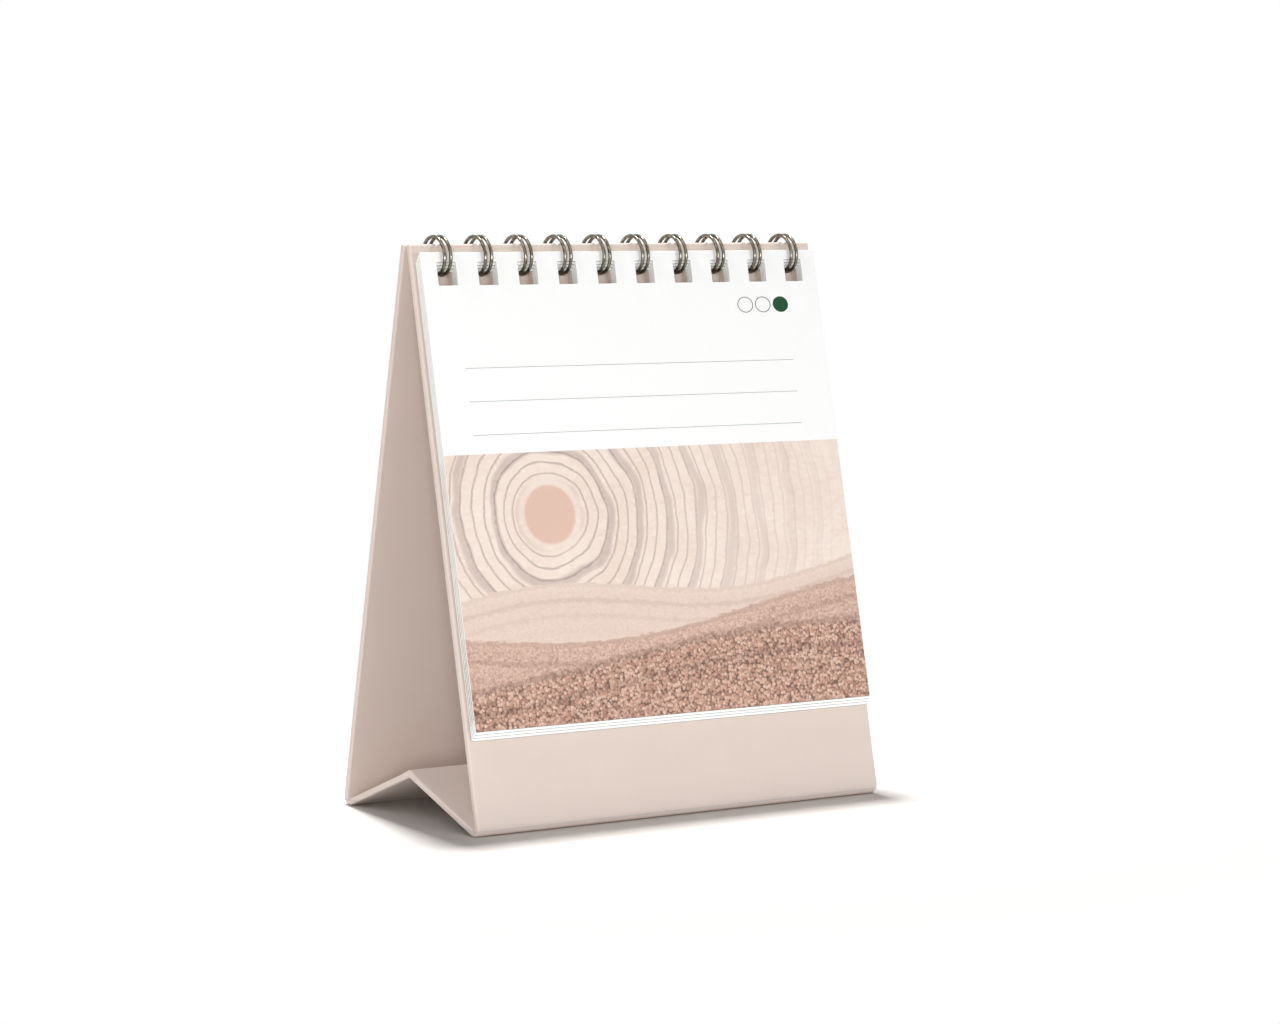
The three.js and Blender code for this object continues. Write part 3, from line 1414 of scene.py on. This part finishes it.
@dataclass
class Leaves:
    """The card leaves, each a little lower than the one in front of it.

    Attributes:
        easel: The easel that they hang on.
        punching: The row of holes.
        width: A leaf's width.
        length: Its length.
        thickness: Its thickness.
        gap: Between two leaves.
        drop: How far the front leaf's top edge is below the board's.
        step: How much lower each deeper leaf hangs.
        hole_width: The punched holes' width.
        hole_height: Their height.
        hole_margin: From the top edge to the holes.
        corner: The rounding of a leaf's corners.
        corner_facets: Facets of that rounding.
        hole_corner: The rounding of the holes' corners.
        hole_facets: Facets of that rounding.
        chamfer: The bevel that the knife leaves.
        facing_share: How squarely a face looks forwards or back to be a side of the leaf.
        bevel_share: How far it must look forwards and down to take the painted shade.
        back: The finish of the backs.
        cut_edge: The finish of the cut edges.
        bevel_shade: The painted shade on the bevels under the edges, where each leaf shades the
            one behind it.
        motifs: The leaves' pictures, from the front one.
    """

    easel: Easel
    punching: Punching
    width: float = 130 * MM
    length: float = 127.6 * MM
    thickness: float = 0.45 * MM
    gap: float = 0.3 * MM
    drop: float = 2.9 * MM
    step: float = 0.72 * MM
    hole_width: float = 5.9 * MM
    hole_height: float = 6.15 * MM
    hole_margin: float = 2.8 * MM
    corner: float = 0.4 * MM
    corner_facets: int = 6
    hole_corner: float = 0.3 * MM
    hole_facets: int = 5
    chamfer: float = 0.1 * MM
    facing_share: float = 0.9
    bevel_share: float = 0.3
    back: Card = Card("card_back", srgb(246, 246, 240))
    cut_edge: Card = Card("card_edge", srgb(240, 239, 235))
    # Painted shade: a dark grey-green on the bevels that look forwards and down, for the thin
    # shadow each leaf casts on the one behind.
    bevel_shade: Card = Card("card_bevel_shade", srgb(132, 141, 134))
    motifs: tuple[Motif, ...] = (
        Motif((-34.0, 17.0), 8.0, 0.4, -0.05, 0.0),
        Motif((30.0, 20.0), 9.0, 2.1, 0.05, 4.0),
        Motif((4.0, 14.0), 6.0, 3.6, -0.02, 4.0),
        Motif((-44.0, 13.0), 6.5, 5.0, 0.07, 4.0),
    )

    def top(self, index: int) -> float:
        """Returns how far up the board a leaf's top edge lies."""
        return self.easel.length - self.drop - index * self.step

    def inner(self, index: int) -> float:
        """Returns how far out from the board's inner face a leaf starts."""
        behind = len(self.motifs) - 1 - index
        return self.easel.thickness + self.gap + behind * (self.thickness + self.gap)

    def outlines(self, index: int) -> list[list[Point2]]:
        """Outlines a leaf and then its holes.

        Args:
            index: The leaf's place, 0 for the front one.

        Returns:
            The outlines, across the leaf and up the board.
        """
        top = self.top(index)
        made = [rounded(
            -self.width / 2, self.width / 2, top - self.length, top,
            self.corner, self.corner_facets,
        )]
        high = top - self.hole_margin
        for x in self.punching.centres():
            made.append(rounded(
                x - self.hole_width / 2, x + self.hole_width / 2,
                high - self.hole_height, high, self.hole_corner, self.hole_facets,
            ))
        return made

    def plate(self, shape: bmesh.types.BMesh, index: int) -> None:
        """Makes one leaf with its punched holes.

        Args:
            shape: Takes the leaf.
            index: Its place, 0 for the front one.
        """
        inner = self.inner(index)
        levels = (
            (0.0, self.chamfer), (self.chamfer, 0.0),
            (self.thickness - self.chamfer, 0.0), (self.thickness, self.chamfer),
        )
        faces: dict[int, list[bmesh.types.BMEdge]] = {0: [], len(levels) - 1: []}
        for number, outline in enumerate(self.outlines(index)):
            grow = -1 if number == 0 else 1
            count = len(outline)
            middle_x, middle_s = (sum(places) / count for places in zip(*outline))
            rings = []
            for depth, inset in levels:
                ring = []
                for x, s in outline:
                    pull = Vector((
                        math.copysign(inset, x - middle_x), math.copysign(inset, s - middle_s)
                    ))
                    place = Vector((x, s)) + grow * pull
                    ring.append(
                        shape.verts.new(self.easel.on_board(place.x, place.y, inner + depth))
                    )
                rings.append(ring)
            bands(shape, rings)
            for level, edges in faces.items():
                ring = rings[level]
                edges += [
                    shape.edges.get((ring[k], ring[(k + 1) % count])) for k in range(count)
                ]
        for edges in faces.values():
            bmesh.ops.triangle_fill(shape, edges=edges, use_beauty=True, use_dissolve=False)

    def side_of(self, outward: float, upward: float) -> LeafSide:
        """Tells which side of the leaf a face belongs to.

        Args:
            outward: How far the face looks out of the picture, -1 to 1.
            upward: How far it looks up the board, -1 to 1.

        Returns:
            The side.
        """
        if outward > self.facing_share:
            return LeafSide.PRINT
        if outward < -self.facing_share:
            return LeafSide.BACK
        # Bevels that look forwards and down take the painted shade.
        if outward > self.bevel_share and upward < -self.bevel_share:
            return LeafSide.BURR
        return LeafSide.CUT_EDGE

    def build(self) -> None:
        """Makes and dresses the leaves."""
        cards = [card.build() for card in (self.cut_edge, self.back, self.bevel_shade)]
        easel = self.easel
        for index, motif in enumerate(self.motifs):
            name = f"leaf_{index + 1}"
            mesh = mesh_from(name, lambda shape, place=index: self.plate(shape, place))
            edge = easel.on_board(0, self.top(index), 0)
            face = PrintedCard(
                f"printed_{name}", motif, easel.lean, edge.dot(easel.up) / MM, self.length / MM
            ).build()
            for material in (*cards, face):
                mesh.materials.append(material)
            for polygon in mesh.polygons:
                side = self.side_of(polygon.normal.dot(easel.out), polygon.normal.dot(easel.up))
                polygon.material_index = side.value
            piece = new_object(f"card_{name}", mesh)
            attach(piece, name)
            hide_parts(name)
            log.info("%s: %d faces", piece.name, len(mesh.polygons))


@dataclass
class BindingWire:
    """The twin-loop wire, one tube from its first loop to its last.

    Angles go round the wire's axis, from the front over the top to the back.

    Attributes:
        easel: The easel that it binds.
        punching: The row of holes.
        diameter: The wire's diameter.
        radius: Of a loop, to the middle of the wire.
        spread: Between the two wires of a loop.
        front_offset: Of the loops' axis in front of the middle of the easel.
        drop: Of that axis below the boards' outer top corners.
        bar_angle: Where the bars between the loops lie.
        tip_angle: Where the loops' tips lie.
        flattening: How much nearer to the axis a loop's lowest point is.
        bend: The radius of the bend from a loop into a bar.
        loop_steps: Points from a loop's root to its tip.
        bend_steps: Points in a bend.
        sides: Facets round the wire.
        weld: How near the ends of two loops must be to be joined.
        metal: The wire's finish.
    """

    easel: Easel
    punching: Punching
    diameter: float = 0.95 * MM
    radius: float = 5.85 * MM
    spread: float = 1.9 * MM
    front_offset: float = 1.5 * MM
    drop: float = 3.9 * MM
    bar_angle: float = math.radians(-12)
    tip_angle: float = math.radians(14.5)
    flattening: float = 1.3 * MM
    bend: float = 0.7 * MM
    loop_steps: int = 64
    bend_steps: int = 7
    sides: int = 14
    weld: float = 0.001 * MM
    metal: WireMetal = WireMetal()

    def on_loop(self, x: float, angle: float) -> Vector:
        """Finds a place on a loop, which is flatter below.

        Args:
            x: The place across the book.
            angle: The angle round the wire's axis.

        Returns:
            The middle of the wire there.
        """
        top = self.easel.on_board(0, self.easel.length, self.easel.thickness).z
        radius = self.radius - self.flattening * max(0.0, -math.sin(angle)) ** 2
        return Vector((
            x,
            -self.front_offset + radius * math.cos(angle),
            top - self.drop + radius * math.sin(angle),
        ))

    def one_loop(self) -> list[Vector]:
        """Follows one loop of the wire and the bar that leads to the next.

        Returns:
            The middle of the wire, point by point.
        """
        root = self.bar_angle + 2 * math.pi - self.bend / self.radius
        side = self.spread / 2
        centre = self.punching.centres()[0]
        left, right = centre - side, centre + side
        turn = side / self.radius
        steps = self.loop_steps
        points = [
            self.on_loop(left, root + (self.tip_angle - root) * k / steps) for k in range(steps)
        ]
        for k in range(2 * self.bend_steps + 1):
            phi = math.pi * k / (2 * self.bend_steps)
            points.append(self.on_loop(
                centre - side * math.cos(phi), self.tip_angle - turn * math.sin(phi)
            ))
        points += [
            self.on_loop(right, self.tip_angle + (root - self.tip_angle) * k / steps)
            for k in range(1, steps + 1)
        ]
        rise = self.bend / self.radius
        following = left + self.punching.pitch
        for k in range(1, self.bend_steps + 1):
            phi = math.pi / 2 * k / self.bend_steps
            points.append(self.on_loop(
                right + self.bend * (1 - math.cos(phi)), root + rise * math.sin(phi)
            ))
        for k in range(self.bend_steps + 1):
            phi = math.pi / 2 * k / self.bend_steps
            points.append(self.on_loop(
                following - self.bend * (1 - math.sin(phi)), root + rise * math.cos(phi)
            ))
        return points

    def tree(self, material: bpy.types.Material) -> bpy.types.GeometryNodeTree:
        """Makes the nodes that repeat the loop and give the path its round section.

        Args:
            material: The wire's finish.

        Returns:
            The tree.
        """
        tree = bpy.data.node_groups.new("wire_loops", "GeometryNodeTree")
        tree.interface.new_socket("Geometry", in_out="INPUT", socket_type="NodeSocketGeometry")
        for name, kind in (
            ("Loop Count", "NodeSocketInt"), ("Loop Pitch", "NodeSocketFloat"),
            ("Wire Radius", "NodeSocketFloat"), ("Wire Sides", "NodeSocketInt"),
            ("Last Point", "NodeSocketFloat"),
        ):
            tree.interface.new_socket(name, in_out="INPUT", socket_type=kind)
        tree.interface.new_socket("Geometry", in_out="OUTPUT", socket_type="NodeSocketGeometry")
        graph = Graph(tree)
        given = graph.node("NodeGroupInput")
        pitch = graph.node("ShaderNodeCombineXYZ", None, {"X": graph.out(given, "Loop Pitch")})
        line = graph.node(
            "GeometryNodeMeshLine", {"mode": "OFFSET"},
            {"Count": graph.out(given, "Loop Count"), "Offset": graph.out(pitch)},
        )
        copies = graph.node(
            "GeometryNodeInstanceOnPoints", None,
            {"Points": graph.out(line), "Instance": graph.out(given, "Geometry")},
        )
        real = graph.node("GeometryNodeRealizeInstances", None, {0: graph.out(copies)})
        joined = graph.node(
            "GeometryNodeMergeByDistance", None,
            {"Geometry": graph.out(real), "Distance": self.weld},
        )
        place = graph.node("GeometryNodeInputPosition")
        across = graph.node("ShaderNodeSeparateXYZ", None, {0: graph.out(place)})
        past = graph.out(across, "X") > graph.out(given, "Last Point")
        cut = graph.node(
            "GeometryNodeDeleteGeometry", {"domain": "POINT"},
            {"Geometry": graph.out(joined), "Selection": past},
        )
        path = graph.node("GeometryNodeMeshToCurve", None, {"Mesh": graph.out(cut)})
        section = graph.node(
            "GeometryNodeCurvePrimitiveCircle", None,
            {"Resolution": graph.out(given, "Wire Sides"),
             "Radius": graph.out(given, "Wire Radius")},
        )
        tube = graph.node(
            "GeometryNodeCurveToMesh", None,
            {"Curve": graph.out(path), "Profile Curve": graph.out(section), "Fill Caps": True},
        )
        smooth = graph.node("GeometryNodeSetShadeSmooth", None, {"Geometry": graph.out(tube)})
        whole = graph.node("GeometryNodeRealizeInstances", None, {0: graph.out(smooth)})
        done = graph.node(
            "GeometryNodeSetMaterial", None,
            {"Geometry": graph.out(whole), "Material": material},
        )
        graph.node("NodeGroupOutput", None, {0: graph.out(done)})
        return tree

    def build(self) -> None:
        """Makes and dresses the wire."""
        points = self.one_loop()
        mesh = bpy.data.meshes.new("wire_path")
        mesh.from_pydata(points, [(k, k + 1) for k in range(len(points) - 1)], [])
        piece = new_object("twin_loop_wire", mesh)
        material = self.metal.build()
        tree = self.tree(material)
        hair = self.diameter / 100
        last = self.punching.centres()[-1] + self.spread / 2 + hair
        sizes = {
            "Loop Count": self.punching.count,
            "Loop Pitch": self.punching.pitch,
            "Wire Radius": self.diameter / 2,
            "Wire Sides": self.sides,
            "Last Point": last,
        }
        modifier = piece.modifiers.new("loops", "NODES")
        modifier.node_group = tree
        for item in tree.interface.items_tree:
            if item.in_out == "INPUT" and item.name in sizes:
                modifier[item.identifier] = sizes[item.name]
        settle(piece)
        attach(piece, "binding_wire")
        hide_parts("binding_wire")
        log.info("%s: %d faces", piece.name, len(piece.data.polygons))


@dataclass(frozen=True)
class Lamp:
    """A square lamp.

    Attributes:
        name: Its name.
        place: Where it hangs.
        size: Its side.
        power: Its power in watts.
    """

    name: str
    place: Point3
    size: float
    power: float

    def hang(self, target: Point3) -> bpy.types.Object:
        """Hangs the lamp.

        Args:
            target: The place that it faces.

        Returns:
            The lamp.
        """
        data = bpy.data.lights.new(self.name, "AREA")
        data.shape = "SQUARE"
        data.size = self.size
        data.energy = self.power
        made = bpy.data.objects.new(self.name, data)
        made.location = self.place
        aim = Vector(target) - Vector(self.place)
        made.rotation_euler = aim.to_track_quat("-Z", "Y").to_euler()
        bpy.context.scene.collection.objects.link(made)
        return made


@dataclass
class Studio:
    """A white floor, soft lamps and the camera.

    Attributes:
        camera_place: Where the camera stands.
        yaw: How far it looks to the right of +Y.
        pitch: How far it looks up.
        roll: How far it is turned about its line of sight.
        focal: Its focal length in widths of the picture.
        sensor: Its sensor's width in millimetres.
        nearest: The nearest place that it sees.
        target: What the lamps face.
        key: The lamp overhead that gives the floor its light and its shadow.
        upper: A weak lamp from the upper left.
        fills: The lamps that light the book alone.
        floor_half: Half the floor's side.
        floor_drop: How far it lies under the feet.
        floor_colour: Its colour to the camera.
        floor_bounce: The colour that it throws back at the book.
        shadow_reach: From the origin to where the floor begins to glow white.
        sky: How strongly the sky lights the book.
    """

    camera_place: Point3 = (-0.5647, -0.8391, 0.1591)
    yaw: float = 0.600
    pitch: float = -0.078
    roll: float = -0.002
    focal: float = 3666 / 1280
    sensor: float = 36.0
    nearest: float = 0.01
    target: Point3 = (0.0, 0.0, 0.07)
    key: Lamp = Lamp("key", (0.05, 0.33, 1.35), 0.1, 19.5)
    upper: Lamp = Lamp("upper", (-0.8, 0.0, 1.08), 0.3, 0.8)
    fills: tuple[Lamp, ...] = (
        Lamp("side", (-0.98, -1.35, 0.24), 0.44, 9.9),
        Lamp("front", (0.3, -1.65, 0.24), 0.44, 6.3),
        Lamp("left", (-0.8, 0.0, 1.08), 0.3, 3.2),
    )
    floor_half: float = 6.0
    floor_drop: float = 0.05 * MM
    floor_colour: Colour = (0.87, 0.84, 0.81, 1.0)
    floor_bounce: Colour = (0.74, 0.73, 0.72, 1.0)
    shadow_reach: float = 0.11
    sky: float = 0.28

    def camera(self) -> None:
        """Sets the camera up."""
        data = bpy.data.cameras.new("camera")
        data.sensor_width = self.sensor
        data.sensor_fit = "HORIZONTAL"
        data.lens = self.focal * self.sensor
        data.clip_start = self.nearest
        made = bpy.data.objects.new("camera", data)
        made.location = self.camera_place
        turn = Euler((math.pi / 2 + self.pitch, 0, -self.yaw), "XYZ").to_matrix()
        made.rotation_euler = (turn @ Matrix.Rotation(self.roll, 3, "Z")).to_euler()
        bpy.context.scene.collection.objects.link(made)
        bpy.context.scene.camera = made

    def hang_fills(self, floor: bpy.types.Object) -> None:
        """Hangs the lamps that light the book alone, so that its shadow on the floor stays deep.

        Args:
            floor: The floor.
        """
        spared = bpy.data.collections.new("spared_by_fills")
        spared.objects.link(floor)
        spared.collection_objects[0].light_linking.link_state = "EXCLUDE"
        for fill in self.fills:
            fill.hang(self.target).light_linking.receiver_collection = spared

    def world(self) -> None:
        """Makes the sky: plain light for the book, white to the camera and in reflections."""
        world = bpy.data.worlds.new("studio")
        world.use_nodes = True
        bpy.context.scene.world = world
        graph = Graph(world.node_tree)
        seen = graph.rays("Is Camera Ray", "Is Glossy Ray", "Is Transmission Ray")
        strength = seen * (1 - self.sky) + self.sky
        sky = graph.node(
            "ShaderNodeBackground", None, {"Color": (1, 1, 1, 1), "Strength": strength}
        )
        graph.node("ShaderNodeOutputWorld", None, {"Surface": graph.out(sky)})

    def floor(self) -> bpy.types.Object:
        """Lays the floor, which shows white and keeps the book's shadow.

        Returns:
            The floor.
        """
        half = self.floor_half
        mesh = bpy.data.meshes.new("floor")
        corners = [(-half, -half), (half, -half), (half, half), (-half, half)]
        mesh.from_pydata([(x, y, -self.floor_drop) for x, y in corners], [], [(0, 1, 2, 3)])
        material = bpy.data.materials.new("floor")
        material.use_nodes = True
        graph = Graph(material.node_tree)
        seen = graph.rays("Is Camera Ray", "Is Glossy Ray")
        place = graph.out(graph.node("ShaderNodeTexCoord"), "Object")
        apart = graph.node("ShaderNodeSeparateXYZ", None, {0: place})
        away = distance(graph, graph.out(apart, "X"), graph.out(apart, "Y"))
        far = away.smooth(self.shadow_reach, 2 * self.shadow_reach)
        tone = graph.mix(graph.rays("Is Camera Ray"), self.floor_bounce, self.floor_colour)
        matt = graph.node("ShaderNodeBsdfDiffuse", None, {"Color": tone})
        glow = graph.node("ShaderNodeEmission", None, {"Color": (1, 1, 1, 1), "Strength": 1.0})
        both = graph.node(
            "ShaderNodeMixShader", None,
            {0: seen * far, 1: graph.out(matt), 2: graph.out(glow)},
        )
        graph.node("ShaderNodeOutputMaterial", None, {"Surface": graph.out(both)})
        mesh.materials.append(material)
        laid = new_object("floor", mesh)
        return laid

    def build(self) -> None:
        """Makes the whole studio."""
        self.camera()
        self.world()
        self.key.hang(self.target)
        self.upper.hang(self.target)
        self.hang_fills(self.floor())
        bpy.context.scene.view_settings.view_transform = "Standard"
        log.info("studio: sky %.2f", self.sky)


def main() -> None:
    """Builds the book piece by piece round the frame."""
    logging.basicConfig(level=logging.INFO, format="%(name)s: %(message)s")
    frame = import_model()
    Studio().build()
    punching = Punching()
    easel = Easel(punching)
    easel.build(frame)
    Leaves(easel, punching).build()
    BindingWire(easel, punching).build()


if __name__ == "__main__":
    main()
